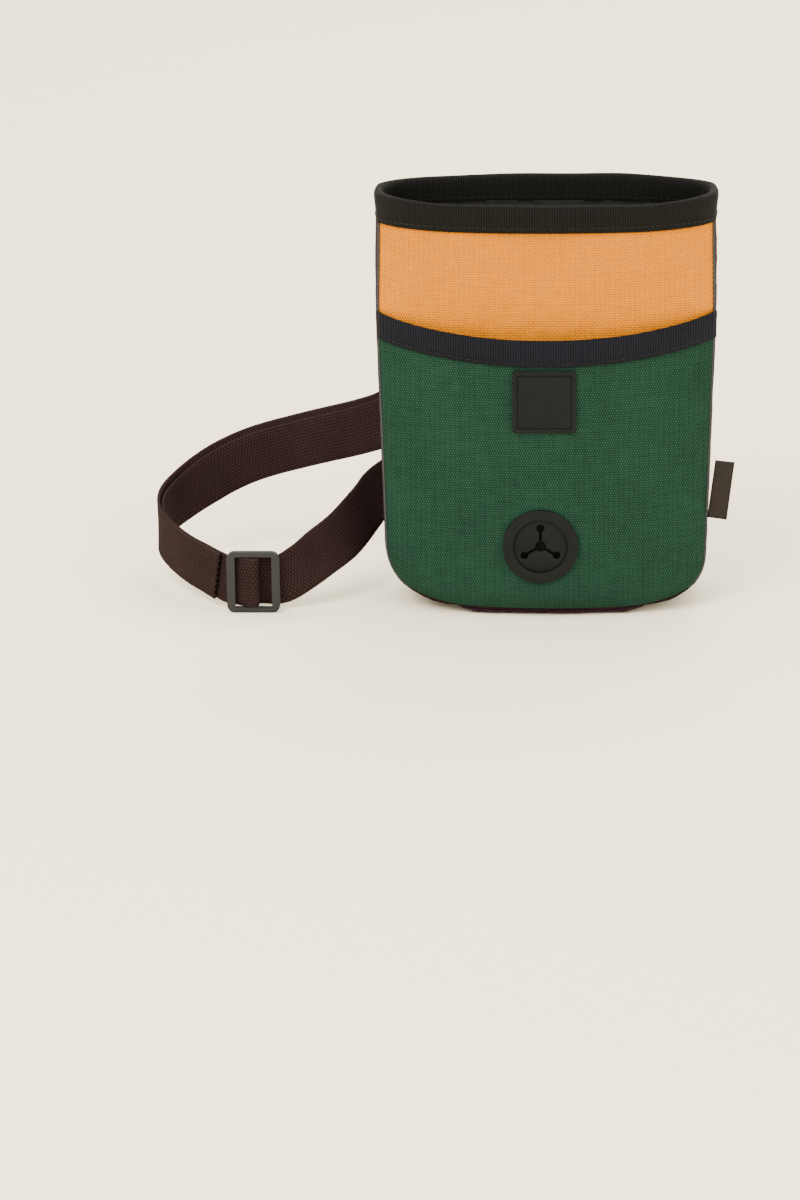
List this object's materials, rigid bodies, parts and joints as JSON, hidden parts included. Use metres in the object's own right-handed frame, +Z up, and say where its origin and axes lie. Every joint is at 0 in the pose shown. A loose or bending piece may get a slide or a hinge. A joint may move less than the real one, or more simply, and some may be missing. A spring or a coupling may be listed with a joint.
{
  "type": "treat pouch",
  "caption": "Soft fabric pouch with a cinch mouth, slip pocket with a bag dispenser port, zip pocket, belt loops, buckle halves and a webbing strap.",
  "frame": {"origin": "middle of the pouch's base, on the surface that it stands on", "axes": "+Z up towards the mouth; -Y towards the front pocket; +X to the right as seen from the front"},
  "size_m": [0.2858, 0.118, 0.205],
  "materials": {
    "green_canvas": "woven matte",
    "orange_canvas": "woven matte",
    "plum_canvas": "woven matte",
    "grey_piping": "matte",
    "black_grosgrain": "ribbed",
    "navy_grosgrain": "ribbed",
    "black_lining": "soft matte",
    "black_cord": "braided",
    "black_rubber": "matte moulded",
    "label_satin": "satin",
    "zip_tape": "coated",
    "zip_metal": "gloss black",
    "grey_plastic": "matte moulded",
    "black_plastic": "satin moulded",
    "reflective_tape": "retroreflective",
    "plum_webbing": "woven webbing",
    "stitching": "thread",
    "steel_wire": "bright"
  },
  "bodies": {
    "pouch": {"back_panel": "green_canvas", "front_panel": "orange_canvas", "gusset": "plum_canvas", "front_pocket": "green_canvas", "mouth_binding": "black_grosgrain", "pocket_binding": "navy_grosgrain", "piping_front": "grey_piping", "piping_back": "grey_piping", "lining": "black_lining", "drawstring_collar": "black_lining", "drawcord_loop": "black_cord", "cord_eyelet": "black_plastic", "drawcord_strand_a": "black_cord", "drawcord_strand_b": "black_cord", "cord_knot": "black_cord", "patch": "black_rubber", "dispenser_ring": "black_rubber", "dispenser_disc": "black_rubber", "side_label": "label_satin", "zip_tape_left": "zip_tape", "zip_tape_right": "zip_tape", "zip_coil_left": "zip_tape", "zip_coil_right": "zip_tape", "zip_pocket_bag": "black_lining", "belt_loop_left": "plum_webbing", "belt_loop_right": "plum_webbing", "bartacks": "stitching", "strap_outer_layer": "plum_webbing", "strap_inner_layer": "plum_webbing"},
    "zip_slider": {"zip_slider": "zip_metal"},
    "zip_ring": {"zip_pull_ring": "grey_plastic"},
    "zip_tab": {"zip_pull_tab": "zip_tape", "zip_pull_reflector": "reflective_tape"},
    "cord_lock": {"cord_lock_body": "black_plastic", "cord_lock_spring": "steel_wire"},
    "lock_plunger": {"cord_lock_plunger": "black_plastic"},
    "female_strap": {"buckle_strap_female": "plum_webbing"},
    "female_half": {"female_buckle": "black_plastic"},
    "male_strap": {"buckle_strap_male": "plum_webbing"},
    "male_half": {"male_buckle_frame": "black_plastic"},
    "prong_left": {"male_prong_left": "black_plastic"},
    "prong_right": {"male_prong_right": "black_plastic"},
    "adjuster": {"triglide": "grey_plastic", "strap_end_fold": "plum_webbing"}
  },
  "joints": [
    {"name": "zip_travel", "type": "slide", "parent": "pouch", "child": "zip_slider", "axis": [0, 0, -1], "range_m": [0, 0.098]},
    {"name": "zip_ring_swing", "type": "hinge", "parent": "zip_slider", "child": "zip_ring", "pos_m": [0.06212, 0.02944, 0.1545], "axis": [0.9974, -0.0727, 0], "range_deg": [0, 120]},
    {"name": "zip_tab_swing", "type": "hinge", "parent": "zip_ring", "child": "zip_tab", "pos_m": [0.06212, 0.02944, 0.1459], "axis": [0.9974, -0.0727, 0], "range_deg": [0, 60]},
    {"name": "cord_lock_slide", "type": "slide", "parent": "pouch", "child": "cord_lock", "axis": [-0.5547, 0, -0.8321], "range_m": [0, 0.008]},
    {"name": "lock_press", "type": "slide", "parent": "cord_lock", "child": "lock_plunger", "axis": [0.8321, 0, -0.5547], "range_m": [0, 0.003], "stiffness_N_per_m": 300, "springref_m": -0.003, "deforming": ["cord_lock_spring"]},
    {"name": "female_strap_swing", "type": "hinge", "parent": "pouch", "child": "female_strap", "pos_m": [0.028, 0.03169, 0.159], "axis": [1, 0, 0], "range_deg": [0, 70]},
    {"name": "female_half_swing", "type": "hinge", "parent": "female_strap", "child": "female_half", "pos_m": [0.028, 0.0413, 0.115], "axis": [1, 0, 0], "range_deg": [0, 60]},
    {"name": "male_strap_swing", "type": "hinge", "parent": "pouch", "child": "male_strap", "pos_m": [-0.032, 0.03149, 0.159], "axis": [1, 0, 0], "range_deg": [0, 70]},
    {"name": "male_half_swing", "type": "hinge", "parent": "male_strap", "child": "male_half", "pos_m": [-0.032, 0.0413, 0.1203], "axis": [1, 0, 0], "range_deg": [0, 40]},
    {"name": "prong_left_flex", "type": "hinge", "parent": "male_half", "child": "prong_left", "pos_m": [-0.0441, 0.043, 0.1099], "axis": [0, -1, 0], "range_deg": [0, 7], "stiffness_Nm_per_rad": 0.05},
    {"name": "prong_right_flex", "type": "hinge", "parent": "male_half", "child": "prong_right", "pos_m": [-0.0199, 0.043, 0.1099], "axis": [0, 1, 0], "range_deg": [0, 7], "stiffness_Nm_per_rad": 0.05},
    {"name": "strap_adjust", "type": "slide", "parent": "pouch", "child": "adjuster", "axis": [-1, 0, 0], "range_m": [0, 0.005]}
  ]
}
